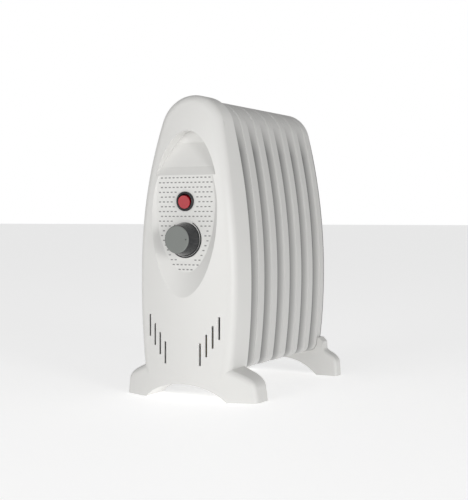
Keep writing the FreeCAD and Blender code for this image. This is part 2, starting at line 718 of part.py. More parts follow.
def make_front_foot(cover_outer):
    """The front foot: ends, arch and a cradle that hugs the bottom of the cover."""
    flare = [(FOOT_END_X, FOOT_END_Z), (FOOT_SHOULDER_X, FOOT_SHOULDER_Z), (FOOT_FLARE_X, FOOT_FLARE_Z),
             (FOOT_NECK_X, FOOT_NECK_Z)]
    slope = (FOOT_NECK_Z - FOOT_FLARE_Z) / (FOOT_FLARE_X - FOOT_NECK_X)
    root = (FOOT_ROOT_X, FOOT_NECK_Z + slope * (FOOT_NECK_X - FOOT_ROOT_X))
    blank = prism_y(foot_profile(ARCH, FOOT_HALF_WIDTH, flare, [root]), FOOT_BACK_Y + FOOT_DEPTH)
    front = front_block(FOOT_SETBACK, -WELL_PAST, COVER_BOTTOM_Z + FOOT_DEPTH, FOOT_BACK_Y)
    behind = box(-FOOT_HALF_WIDTH - PAST, FOOT_HALF_WIDTH + PAST, FOOT_BACK_Y, RIM_Y + FOOT_DEPTH, -PAST,
                 root[1] + PAST)
    foot = blank.common(front).cut(behind)
    foot = foot.makeFillet(FOOT_CORNER_R, end_edges(foot, FOOT_END_X, FOOT_BACK_Y / 2.0))
    foot = foot.cut(cover_outer)
    foot = foot.cut(leg_pockets(FOOT_HALF_WIDTH, FOOT_SETBACK + LEG_POCKET_SETBACK, FOOT_BACK_Y))
    seat_z = COVER_BOTTOM_Z - FOOT_SCREW_SEAT
    xs = (-FOOT_SCREW_X, FOOT_SCREW_X)
    holes = [cylinder_z(SCREW_R, -PAST, COVER_BOTTOM_Z + PAST, x, FOOT_SCREW_Y) for x in xs]
    heads = [cylinder_z(SCREW_HEAD_R + HEAD_ROOM, -PAST, seat_z, x, FOOT_SCREW_Y) for x in xs]
    keep("front_foot", largest(foot.cut(holes + heads)))
    screws = [screw_z(x, FOOT_SCREW_Y, seat_z, FOOT_SCREW_LENGTH, 1) for x in xs]
    keep("front_foot_screws", Part.makeCompound(screws))


def end_edges(foot, end_x, front_y):
    """The edges that stand at the outer ends of a foot, ahead of a given depth."""
    return [e for e in foot.Edges if e.BoundBox.ZLength > FOOT_END_Z / 2.0
            and abs(e.CenterOfMass.x) > end_x and e.CenterOfMass.y < front_y]


def largest(shape):
    """The biggest solid of a cut, without the crumbs it leaves."""
    return max(shape.Solids, key=lambda s: s.Volume)


def make_rear_foot():
    """The rear foot: ends, arch and a tower each side that cups the last fin."""
    y0 = REAR_FOOT_BACK_Y - REAR_FOOT_DEPTH
    flare = [(REAR_FOOT_END_X, REAR_FOOT_END_Z), (REAR_SHOULDER_X, REAR_SHOULDER_Z),
             (REAR_FLARE_X, REAR_FLARE_Z), (REAR_NECK_X, REAR_NECK_Z)]
    tower = [(TOWER_HALF_WIDTH, TOWER_SHOULDER_Z), (TOWER_TOP_X, TOWER_TOP_Z)]
    blank = prism_y(foot_profile(REAR_ARCH, REAR_FOOT_HALF_WIDTH, flare, tower), REAR_FOOT_DEPTH)
    blank.translate(V(0, y0, 0))
    blank = blank.makeFillet(REAR_CORNER_R, end_edges(blank, REAR_FOOT_END_X, REAR_FOOT_BACK_Y))
    behind_fin = FIN_BACK_Y + REAR_FOOT_CLEARANCE
    room = prism_y(fin_outline(y0 - PAST, -REAR_FOOT_CLEARANCE), behind_fin - y0 + PAST)
    window = box(-REAR_WINDOW_HALF_WIDTH, REAR_WINDOW_HALF_WIDTH, FIN_BACK_Y, REAR_FOOT_BACK_Y + PAST,
                 REAR_PANEL_TOP_Z, TOWER_TOP_Z + PAST)
    side = BRACKET_HALF_WIDTH + REAR_FOOT_CLEARANCE
    notch = box(-side, side, behind_fin, REAR_FOOT_BACK_Y + PAST, BRACKET_BOTTOM_Z - REAR_FOOT_CLEARANCE,
                REAR_PANEL_TOP_Z + PAST)
    xs = (-REAR_SCREW_X, REAR_SCREW_X)
    holes = [cylinder_y(SCREW_R + HOLE_FIT, y0 - PAST, behind_fin + PAST, x, REAR_SCREW_Z) for x in xs]
    pockets = leg_pockets(REAR_FOOT_HALF_WIDTH, y0, REAR_FOOT_BACK_Y)
    keep("rear_foot", largest(blank.cut([room, window, notch] + holes + pockets)))
    make_rear_bracket(behind_fin, xs)


def make_rear_bracket(behind_fin, screw_xs):
    """The cranked steel strip that hangs the rear foot from a stud on the last fin."""
    cap_y = LAST_SEAM_Y + CHANNEL_DEPTH
    half = BRACKET_HALF_WIDTH
    low_back = behind_fin + BRACKET_THICK
    upper = box(-half, half, cap_y, cap_y + BRACKET_THICK, BRACKET_JOG_Z, BRACKET_TOP_Z)
    jog = box(-half, half, cap_y, low_back, BRACKET_JOG_Z - BRACKET_THICK, BRACKET_JOG_Z)
    lower = box(-half, half, behind_fin, low_back, BRACKET_BOTTOM_Z, BRACKET_JOG_Z)
    holes = [cylinder_y(FOOT_STUD_R + HOLE_FIT, cap_y - 1, cap_y + BRACKET_THICK + 1, 0, LOWER_HUB_Z)]
    holes += [cylinder_y(SCREW_R + HOLE_FIT, behind_fin - 1, low_back + 1, x, REAR_SCREW_Z)
              for x in screw_xs]
    keep("rear_foot_bracket", fuse(upper, jog, lower).cut(holes))
    nut_y = cap_y + BRACKET_THICK
    keep("rear_foot_stud", cylinder_y(FOOT_STUD_R, cap_y, nut_y + NUT_THICK + STUD_PROUD, 0, LOWER_HUB_Z))
    keep("rear_foot_nut", nut(0, nut_y, LOWER_HUB_Z, FOOT_STUD_R + HOLE_FIT))
    screws = [screw_y(x, low_back, REAR_SCREW_Z, REAR_FOOT_DEPTH - SCREW_SHORT, -1) for x in screw_xs]
    keep("rear_foot_screws", Part.makeCompound(screws))


def nut(x, y, z, bore):
    """A hexagon nut whose near face is at y."""
    corners = [V(x + NUT_R * math.cos(2 * math.pi * k / NUT_SIDES), y, z + NUT_R * math.sin(2 * math.pi * k / NUT_SIDES))
               for k in range(NUT_SIDES)]
    hexagon = prism_y(Part.makePolygon(corners + corners[:1]), NUT_THICK)
    return hexagon.cut(cylinder_y(bore, y - 1, y + NUT_THICK + 1, x, z))


# ---------------------------------------------------------------- mounting plate and its fixings

def make_mounting_plate():
    """The steel plate behind the cover, stood off the first fin and screwed to the cover's posts."""
    back_y = PLATE_Y + SHEET
    plate = prism_y(cover_outline(PLATE_Y, WALL + PLATE_CLEARANCE), SHEET)
    web_y = FIRST_SEAM_Y - SHEET
    spots = [(-STANDOFF_X, STANDOFF_Z), (STANDOFF_X, STANDOFF_Z)]
    stud_r = STANDOFF_STUD_R
    holes = [cylinder_y(FLANGE_R + 1, PLATE_Y - 1, back_y + 1, 0, LOWER_HUB_Z)]
    holes += [cylinder_y(SCREW_R + HOLE_FIT, PLATE_Y - 1, back_y + 1, x, z) for x, z in post_places()]
    holes += [cylinder_y(stud_r + HOLE_FIT, PLATE_Y - 1, back_y + 1, x, z) for x, z in spots]
    keep("mounting_plate", plate.cut(holes))
    standoffs = [fuse(cylinder_y(STANDOFF_R, back_y, web_y, x, z),
                      cylinder_y(stud_r, PLATE_Y - NUT_THICK - 1, back_y, x, z)) for x, z in spots]
    keep("standoffs", Part.makeCompound(standoffs))
    nuts = [nut(x, PLATE_Y - NUT_THICK, z, stud_r + HOLE_FIT) for x, z in spots]
    keep("standoff_nuts", Part.makeCompound(nuts))
    screws = [screw_y(x, back_y, z, SCREW_DEPTH - 1, -1) for x, z in post_places()]
    keep("cover_screws", Part.makeCompound(screws))


# ---------------------------------------------------------------- rocker switch

def tilted(shape, y, degrees):
    """Turn a piece about a sideways axis at the switch's height."""
    shape.rotate(V(0, y, SWITCH_Z), V(1, 0, 0), degrees)
    return shape


def make_switch():
    """The round rocker switch: housing, rocker, plunger and spring, lamp, lever and terminals."""
    pivot_y = PANEL_Y + ROCKER_PIVOT
    front_y = PANEL_Y - ROCKER_FRONT
    back_y = PANEL_Y + ROCKER_BACK
    wall_y = PANEL_Y + BARREL_LENGTH - SWITCH_BACK_WALL
    rear_y = PANEL_Y + BARREL_LENGTH
    bezel = ring_y(BEZEL_R, ROCKER_R + ROCKER_GAP, PANEL_Y - BEZEL_THICK, PANEL_Y, 0, SWITCH_Z)
    barrel = cylinder_y(BARREL_R, PANEL_Y, rear_y, 0, SWITCH_Z)
    barrel = barrel.cut(cylinder_y(SWITCH_BORE_R, PANEL_Y - 1, wall_y, 0, SWITCH_Z))
    pin_hole = cylinder_x(ROCKER_PIN_R + RUNNING_FIT, -BARREL_R, BARREL_R, pivot_y, SWITCH_Z)
    tabs = [switch_tab(dz) for dz in (-TAB_SPACING, 0.0, TAB_SPACING)]
    keep("switch_housing", fuse(bezel, barrel).cut([pin_hole] + tabs))
    buttons = [cylinder_y(CONTACT_R, TAB_START + PANEL_Y - CONTACT_THICK, TAB_START + PANEL_Y, 0,
                          SWITCH_Z + dz) for dz in (-TAB_SPACING, TAB_SPACING)]
    outer_tabs = [fuse(tabs[0], buttons[0]), tabs[1], fuse(tabs[2], buttons[1])]
    keep("switch_terminals", Part.makeCompound(outer_tabs))

    shell = cylinder_y(ROCKER_R, front_y, back_y, 0, SWITCH_Z)
    hollow_r = ROCKER_R - ROCKER_WALL
    shell = shell.cut(cylinder_y(hollow_r, front_y + ROCKER_WALL, back_y + 1, 0, SWITCH_Z))
    pins = [cylinder_x(ROCKER_PIN_R, s * (hollow_r + ROCKER_WALL / 2.0) - PIN_HALF,
                       s * (hollow_r + ROCKER_WALL / 2.0) + PIN_HALF, pivot_y, SWITCH_Z) for s in (-1, 1)]
    socket = cylinder_y(SOCKET_R, front_y + ROCKER_WALL / 2.0, back_y, 0, SWITCH_Z)
    bore = cylinder_y(PLUNGER_R + RUNNING_FIT, SPRING_START + PANEL_Y, back_y + 1, 0, SWITCH_Z)
    keep("rocker", tilted(fuse(shell, socket, *pins).cut(bore), pivot_y, ROCKER_TILT))
    spring = Part.makeHelix(SPRING_PITCH, SPRING_LENGTH, SPRING_R)
    section = Part.Wire(Part.makeCircle(SPRING_WIRE_R, V(SPRING_R, 0, 0), V(0, 1, 0)))
    spring = Part.Wire(spring).makePipeShell([section], True, True)
    spring.rotate(V(0, 0, 0), V(1, 0, 0), -QUARTER_TURN)
    spring.translate(V(0, PANEL_Y + SPRING_START + SPRING_WIRE_R + SPRING_GAP, SWITCH_Z))
    keep("plunger_spring", tilted(spring, pivot_y, ROCKER_TILT))
    plunger_y = PANEL_Y + SPRING_START + SPRING_LENGTH + 2 * (SPRING_WIRE_R + SPRING_GAP)
    plunger = cylinder_y(PLUNGER_R, plunger_y, PANEL_Y + PLUNGER_TIP - PLUNGER_R, 0, SWITCH_Z)
    tip = Part.makeSphere(PLUNGER_R, V(0, PANEL_Y + PLUNGER_TIP - PLUNGER_R, SWITCH_Z))
    keep("rocker_plunger", tilted(fuse(plunger, tip), pivot_y, ROCKER_TILT))
    lamp = cylinder_x(LAMP_R, -LAMP_HALF, LAMP_HALF, PANEL_Y, SWITCH_Z + LAMP_RISE)
    keep("neon_lamp", tilted(lamp, pivot_y, ROCKER_TILT))
    lever_y = PANEL_Y + LEVER_PIVOT
    strip = box(-LEVER_HALF_WIDTH, LEVER_HALF_WIDTH, lever_y - LEVER_KNUCKLE_R, lever_y - LEVER_KNUCKLE_R / 2,
                SWITCH_Z - TAB_SPACING, SWITCH_Z + TAB_SPACING)
    knuckle = cylinder_x(LEVER_KNUCKLE_R, -LEVER_HALF_WIDTH, LEVER_HALF_WIDTH, lever_y, SWITCH_Z)
    keep("contact_lever", tilted(fuse(strip, knuckle), lever_y, -LEVER_TILT))


def switch_tab(dz):
    """One flat terminal of the switch, through its back wall."""
    half = TAB_WIDTH / 2.0
    return box(-half, half, PANEL_Y + TAB_START, PANEL_Y + TAB_END, SWITCH_Z + dz - TAB_THICK / 2.0,
               SWITCH_Z + dz + TAB_THICK / 2.0)


# ---------------------------------------------------------------- knob and thermostat

def d_shaft(radius, flat, y0, y1):
    """A shaft along Y at the knob's centre, with one flat."""
    shaft = cylinder_y(radius, y0, y1, 0, KNOB_Z)
    return shaft.cut(box(-radius, radius, y0 - 1, y1 + 1, KNOB_Z + flat, KNOB_Z + radius + 1))


def make_knob():
    """The hollow tapered knob with its hub, the spring clip on the hub, and the spindle."""
    base_y = PANEL_Y - DIAL_BOSS_RISE - KNOB_GAP
    length = base_y - KNOB_FACE_Y
    axis = V(0, 1, 0)
    outer = Part.makeCone(KNOB_FACE_R, KNOB_BASE_R, length, V(0, KNOB_FACE_Y, KNOB_Z), axis)
    face_edge = [e for e in outer.Edges if e.BoundBox.YLength < SPRING_GAP and e.CenterOfMass.y < KNOB_FACE_Y + 1]
    outer = outer.makeFillet(KNOB_EDGE_R, face_edge)
    hollow = Part.makeCone(KNOB_FACE_R - KNOB_WALL, KNOB_BASE_R - KNOB_WALL, length - KNOB_WALL,
                           V(0, KNOB_FACE_Y + KNOB_WALL, KNOB_Z), axis)
    hub = cylinder_y(KNOB_HUB_R, KNOB_FACE_Y + KNOB_WALL / 2.0, base_y - KNOB_GAP, 0, KNOB_Z)
    tip_y = KNOB_FACE_Y + KNOB_WALL * 2.0
    bore = d_shaft(SPINDLE_R + HOLE_FIT, SPINDLE_FLAT + HOLE_FIT, tip_y, base_y + 1)
    keep("control_knob", fuse(outer.cut(hollow), hub).cut(bore))
    clip_y = base_y - KNOB_GAP - CLIP_WIDTH
    clip = ring_y(KNOB_HUB_R + CLIP_THICK, KNOB_HUB_R, clip_y, base_y - KNOB_GAP, 0, KNOB_Z)
    gap = box(-SPINDLE_R / 2.0, SPINDLE_R / 2.0, clip_y - 1, base_y, KNOB_Z, KNOB_Z + KNOB_HUB_R * 2)
    keep("knob_clip", clip.cut(gap))
    flat_part = d_shaft(SPINDLE_R, SPINDLE_FLAT, tip_y + SPINDLE_CLEARANCE, base_y - KNOB_GAP)
    round_part = cylinder_y(SPINDLE_R, base_y - KNOB_GAP, SPINDLE_END_Y, 0, KNOB_Z)
    keep("thermostat_spindle", fuse(flat_part, round_part))


def make_thermostat():
    """The thermostat behind the panel: frame, bush, ceramic stack, bimetal and contact blade."""
    y0 = PANEL_Y + WALL
    y1 = y0 + STAT_PLATE
    half = STAT_HALF_WIDTH
    plate = box(-half, half, y0, y1, STACK_Z - STACK_R - 2, KNOB_Z + STAT_RISE)
    arms = mirrored(box(half - STAT_PLATE, half, y1, y1 + STAT_ARM, KNOB_Z - STAT_RISE, KNOB_Z + STAT_RISE))
    xs = (-STAT_SCREW_SPACING / 2.0, STAT_SCREW_SPACING / 2.0)
    holes = [cylinder_y(SCREW_R + HOLE_FIT, y0 - 1, y1 + 1, x, KNOB_Z) for x in xs]
    holes.append(cylinder_y(BUSH_R, y0 - 1, y1 + 1, 0, KNOB_Z))
    keep("thermostat_frame", fuse(plate, *arms).cut(holes))
    bush = fuse(cylinder_y(BUSH_R, y0, y1 + BUSH_LENGTH, 0, KNOB_Z),
                cylinder_y(BUSH_R + BUSH_COLLAR, y1, y1 + COLLAR_THICK, 0, KNOB_Z))
    keep("thermostat_bush", bush.cut(cylinder_y(SPINDLE_R + RUNNING_FIT, y0 - 1, y1 + BUSH_LENGTH + 1, 0,
                                                KNOB_Z)))
    strip_y = SPINDLE_END_Y + STRIP_GAP
    blade_y = strip_y + STRIP_THICK + BLADE_GAP
    half_strip = STRIP_WIDTH / 2.0
    strip = fuse(box(-half_strip, half_strip, strip_y, strip_y + STRIP_THICK, STACK_Z - STACK_R, STRIP_TOP_Z),
                 box(-half_strip, 0, strip_y, strip_y + STRIP_THICK, STAT_TAB_Z, STACK_Z))
    blade = fuse(box(-half_strip, half_strip, blade_y, blade_y + STRIP_THICK, STACK_Z - STACK_R,
                     STRIP_TOP_Z),
                 box(0, half_strip, blade_y, blade_y + STRIP_THICK, STAT_TAB_Z, STACK_Z),
                 cylinder_y(CONTACT_R, blade_y - CONTACT_THICK, blade_y, 0, STRIP_TOP_Z - 2 * CONTACT_R))
    stack = cylinder_y(STACK_R, y1, blade_y + STRIP_THICK + STAT_PLATE, 0, STACK_Z)
    keep("bimetal_strip", strip)
    keep("contact_blade", blade)
    keep("ceramic_stack", stack.cut([strip, blade]))
    head_y = PANEL_Y - DIAL_BOSS_RISE
    screws = [screw_y(x, head_y, KNOB_Z, y1 - head_y + STAT_SCREW_PROUD, 1) for x in xs]
    keep("thermostat_screws", Part.makeCompound(screws))
    return strip_y + STRIP_THICK / 2.0, blade_y + STRIP_THICK / 2.0


# ---------------------------------------------------------------- terminal block, cut-out, gland, wires

def make_terminal_block():
    """The screw terminal block on the mounting plate, below the cord inlet's level."""
    front = PLATE_Y - BLOCK_DEPTH
    xs = [BLOCK_X + i * BLOCK_PITCH for i in (-1, 0, 1)]
    block = box(xs[0] - BLOCK_END, xs[-1] + BLOCK_END, front, PLATE_Y, BLOCK_Z - BLOCK_HALF,
                BLOCK_Z + BLOCK_HALF)
    screw_level = BLOCK_Z - BLOCK_HALF / 2.0
    wells = [cylinder_y(WELL_R, front - PAST, front + BLOCK_DEPTH / 2.0, x, screw_level) for x in xs]
    keep("terminal_block", block.cut(wells))
    screws = [cylinder_y(WELL_SCREW_R, front + 2 * PAST, front + BLOCK_DEPTH / 2.0, x, screw_level)
              for x in xs]
    keep("terminal_screws", Part.makeCompound(screws))
    return front, xs


def make_cutout():
    """The thermal cut-out pressed against the mounting plate, with its two tabs."""
    front = PLATE_Y - CUTOUT_DEPTH
    body = cylinder_y(CUTOUT_R, front, PLATE_Y, CUTOUT_X, CUTOUT_Z)
    half = TAB_WIDTH / 2.0
    xs = (CUTOUT_X - CUTOUT_TAB_X, CUTOUT_X + CUTOUT_TAB_X)
    tabs = [box(x - TAB_THICK / 2.0, x + TAB_THICK / 2.0, front - CUTOUT_TAB, front, CUTOUT_Z - half,
                CUTOUT_Z + half) for x in xs]
    keep("thermal_cutout", fuse(body, *tabs))
    return front - CUTOUT_TAB, xs


def make_gland():
    """The rubber gland in the cover's side that the mains cord comes through."""
    side = -side_x_at(GLAND_Y, GLAND_Z)
    tube = cylinder_x(GLAND_R - HOLE_FIT, side - GLAND_OUT, side - GLAND_OUT + GLAND_LENGTH, GLAND_Y, GLAND_Z)
    lip = cylinder_x(GLAND_FLANGE_R, side - GLAND_OUT, side - LIP_GAP, GLAND_Y, GLAND_Z)
    catch_x = side + WALL + CATCH_GAP
    catch = cylinder_x(GLAND_R + GLAND_CATCH, catch_x, catch_x + CATCH_THICK, GLAND_Y, GLAND_Z)
    bore = cylinder_x(CORD_R, side - GLAND_OUT - PAST, side - GLAND_OUT + GLAND_LENGTH + PAST, GLAND_Y, GLAND_Z)
    keep("cord_gland", fuse(tube, lip, catch).cut(bore).cut(nodes["front_cover"]))


def side_x_at(y, z):
    """Half width of the cover's outer side at a given depth and height."""
    face = Part.Face(cover_outline(y))
    line = Part.LineSegment(V(0, y, z), V(SIDE_REACH, y, z)).toShape()
    return face.common(line).BoundBox.XMax


def make_wires(block, cutout, strip_mid_y, blade_mid_y):
    """The internal leads, each held between two terminals."""
    block_y, block_xs = block
    cutout_y, cutout_xs = cutout
    lead_y = block_y - LEAD_OUT
    tab_y = PANEL_Y + TAB_END
    pin_y = BOSS_Y - GASKET_THICK - FLANGE_THICK - COLD_PIN_OUT
    half = SHEATH_SPACING / 2.0
    quarter = STRIP_WIDTH / 4.0
    live_z = SWITCH_Z + TAB_SPACING
    side_x = SWITCH_SIDE_X
    above_block = BLOCK_Z + WELL_R
    fold_z = STAT_TAB_Z - LEAD_OUT * 2
    routes = {
        "wire_block_to_switch": [
            V(block_xs[0], block_y, above_block), V(block_xs[0], lead_y, above_block),
            V(block_xs[0], lead_y, KNOB_Z + LEAD_OUT), V(block_xs[0] / 2.0, tab_y + LEAD_OUT, live_z),
            V(0, tab_y + LEAD_OUT, live_z), V(0, tab_y, live_z)],
        "wire_switch_to_thermostat": [
            V(0, tab_y, SWITCH_Z), V(0, tab_y + LEAD_OUT, SWITCH_Z),
            V(-side_x, tab_y + LEAD_OUT, SWITCH_Z - side_x), V(-side_x, tab_y + LEAD_OUT, STAT_TAB_Z),
            V(-side_x / 2.0, strip_mid_y, fold_z), V(-quarter, strip_mid_y, fold_z),
            V(-quarter, strip_mid_y, STAT_TAB_Z)],
        "wire_thermostat_to_cutout": [
            V(quarter, blade_mid_y, STAT_TAB_Z), V(quarter, blade_mid_y, CUTOUT_Z + LEAD_OUT),
            V(cutout_xs[0], cutout_y - LEAD_OUT, CUTOUT_Z), V(cutout_xs[0], cutout_y, CUTOUT_Z)],
        "wire_cutout_to_element": [
            V(cutout_xs[1], cutout_y, CUTOUT_Z), V(cutout_xs[1], cutout_y - LEAD_OUT, CUTOUT_Z),
            V(cutout_xs[1], cutout_y - LEAD_OUT, LOWER_HUB_Z + CUTOUT_X),
            V(0, pin_y - LEAD_OUT, LOWER_HUB_Z + half), V(0, pin_y, LOWER_HUB_Z + half)],
        "wire_neutral": [
            V(block_xs[1], block_y, above_block), V(block_xs[1], lead_y, above_block),
            V(block_xs[1], lead_y, LOWER_HUB_Z + LEAD_OUT), V(0, pin_y - LEAD_OUT, LOWER_HUB_Z - half),
            V(0, pin_y, LOWER_HUB_Z - half)],
        "wire_earth": [
            V(block_xs[2], block_y, above_block), V(block_xs[2], lead_y, above_block),
            V(block_xs[2] / 2.0, lead_y, above_block), V(block_xs[2] / 2.0, PLATE_Y, above_block)],
    }
    for name, route in routes.items():
        keep(name, tube_along(route, WIRE_R, WIRE_BEND))


# ---------------------------------------------------------------- build and export

def main():
    os.makedirs("parts", exist_ok=True)
    make_fins()
    make_element()
    cover_outer = make_cover()
    make_front_foot(cover_outer)
    make_rear_foot()
    make_mounting_plate()
    make_switch()
    make_knob()
    strip_y, blade_y = make_thermostat()
    block = make_terminal_block()
    cutout = make_cutout()
    make_gland()
    make_wires(block, cutout, strip_y, blade_y)
    for name, shape in nodes.items():
        shape.translate(V(0, FRAME_SHIFT_Y, 0))
        shape.exportStep("parts/%s.step" % name)
        print(name, len(shape.Solids), round(shape.Volume), shape.isValid())


main()
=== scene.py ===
import json
import math

import bpy
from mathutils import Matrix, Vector


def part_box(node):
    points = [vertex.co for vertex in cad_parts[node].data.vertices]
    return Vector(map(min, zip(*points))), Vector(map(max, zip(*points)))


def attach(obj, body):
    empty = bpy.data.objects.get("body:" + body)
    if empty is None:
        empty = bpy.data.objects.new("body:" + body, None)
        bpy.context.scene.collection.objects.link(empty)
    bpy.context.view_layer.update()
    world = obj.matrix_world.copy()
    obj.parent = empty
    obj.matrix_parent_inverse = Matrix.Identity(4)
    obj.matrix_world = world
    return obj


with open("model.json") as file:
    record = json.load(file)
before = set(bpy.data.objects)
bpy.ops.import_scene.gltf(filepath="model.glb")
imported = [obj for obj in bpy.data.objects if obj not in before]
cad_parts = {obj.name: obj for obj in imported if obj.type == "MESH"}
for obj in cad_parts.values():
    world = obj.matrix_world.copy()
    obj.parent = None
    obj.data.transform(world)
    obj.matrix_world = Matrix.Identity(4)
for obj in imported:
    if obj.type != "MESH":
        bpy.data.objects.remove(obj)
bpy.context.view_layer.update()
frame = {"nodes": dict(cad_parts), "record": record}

# ---------------------------------------------------------------- sizes, in metres

KNOB_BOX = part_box("control_knob")
SWITCH_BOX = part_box("switch_housing")
BEZEL_THICK = 0.002
DIAL_RISE = 0.001
PANEL_Y = SWITCH_BOX[0][1] + BEZEL_THICK
KNOB_Z = (KNOB_BOX[0][2] + KNOB_BOX[1][2]) / 2.0
SWITCH_Z = (SWITCH_BOX[0][2] + SWITCH_BOX[1][2]) / 2.0
DIAL_Y = PANEL_Y - DIAL_RISE

PAD_ROW_PITCH = 0.0057
PAD_COLUMN_PITCH = 0.0054
PAD_WIDTH = 0.0027
PAD_HEIGHT = 0.0013
PAD_PROUD = 0.0003
PAD_ZONE_TOP = 0.262
PAD_ZONE_BOTTOM = 0.153
PANEL_WIDEST_Z = 0.234
PANEL_HALF_WIDTH = 0.0385
PANEL_HALF_HEIGHT = 0.084
DIAL_CLEAR_R = 0.0265
BEZEL_CLEAR_R = 0.0145

SCALE_OUTER_R = 0.0222
SCALE_WIDTH = 0.0013
SCALE_SHIFT = 0.0006
SCALE_START = -150.0
SCALE_END = 62.0
TICK_START = 128.0
TICK_END = 140.0
SCALE_STEP = 4.0
PRINT_THICK = 0.0002

FIN_COUNT = 6
FIN_PITCH = (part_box("fin_6_back_plate")[1][1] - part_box("fin_1_back_plate")[1][1]) / (FIN_COUNT - 1)
FIRST_SEAM_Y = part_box("fin_1_front_plate")[1][1]
# Painted shade on the fins' turned-in rims: where it starts within each fin pitch, and the heights over which
# it fades out towards the top; then the width of the dark seam line.
GROOVE_START = 0.0165
GROOVE_END_Z = 0.335
GROOVE_FULL_Z = 0.295
SEAM_LINE = 0.0006

BEZEL_RING_R = 0.0101
BEZEL_TUBE_R = 0.00135
POINTER_X = 0.0125
POINTER_R = 0.0009
POINTER_SIDES = 24
BEZEL_RING_SET_BACK = 0.0003
BEZEL_RING_STEPS = 96
BEZEL_TUBE_STEPS = 20
KNOB_FACE_END = 0.0004
KNOB_SIDE_START = 0.0012
KNOB_FACE_ROUGHNESS = 0.55
KNOB_SIDE_ROUGHNESS = 0.18

# ---------------------------------------------------------------- camera, floor and light

CAMERA_PLACE = (0.6477, -1.22725, 0.2147)
CAMERA_PITCH = 88.30
CAMERA_TURN = 27.89
CAMERA_LENS = 78.08
FLOOR_GLOW = 0.52
FLOOR_SIZE = 60.0
WORLD_LIGHT = 0.32
BACKDROP = 1.0
KEY_POWER = 26
FILL_POWER = 16
LAMP_TARGET = (0, 0, 0.2)


def add_camera():
    """The camera stands low to the right of the front cover and looks almost level."""
    data = bpy.data.cameras.new("camera")
    data.lens = CAMERA_LENS
    data.sensor_width = 36.0
    data.clip_end = 50.0
    camera = bpy.data.objects.new("camera", data)
    camera.location = CAMERA_PLACE
    camera.rotation_euler = (math.radians(CAMERA_PITCH), 0.0, math.radians(CAMERA_TURN))
    bpy.context.collection.objects.link(camera)
    bpy.context.scene.camera = camera


def add_light(name, place, target, size, power):
    """A soft rectangular lamp turned towards a point."""
    data = bpy.data.lights.new(name, "AREA")
    data.shape = "RECTANGLE"
    data.size, data.size_y = size
    data.energy = power
    lamp = bpy.data.objects.new(name, data)
    lamp.location = place
    lamp.rotation_euler = (Vector(target) - Vector(place)).to_track_quat("-Z", "Y").to_euler()
    bpy.context.collection.objects.link(lamp)


def add_world(strength, backdrop):
    """A plain studio: a soft even light, and a paler backdrop behind the object."""
    world = bpy.data.worlds.new("studio")
    world.use_nodes = True
    nodes, links = world.node_tree.nodes, world.node_tree.links
    soft = nodes["Background"]
    soft.inputs["Color"].default_value = (1, 1, 1, 1)
    soft.inputs["Strength"].default_value = strength
    pale = nodes.new("ShaderNodeBackground")
    pale.inputs["Strength"].default_value = backdrop
    pale.inputs["Color"].default_value = (1, 1, 1, 1)
    path = nodes.new("ShaderNodeLightPath")
    mix = nodes.new("ShaderNodeMixShader")
    links.new(path.outputs["Is Camera Ray"], mix.inputs["Fac"])
    links.new(soft.outputs["Background"], mix.inputs[1])
    links.new(pale.outputs["Background"], mix.inputs[2])
    links.new(mix.outputs["Shader"], nodes["World Output"].inputs["Surface"])
    bpy.context.scene.world = world


# ---------------------------------------------------------------- shared shading effects

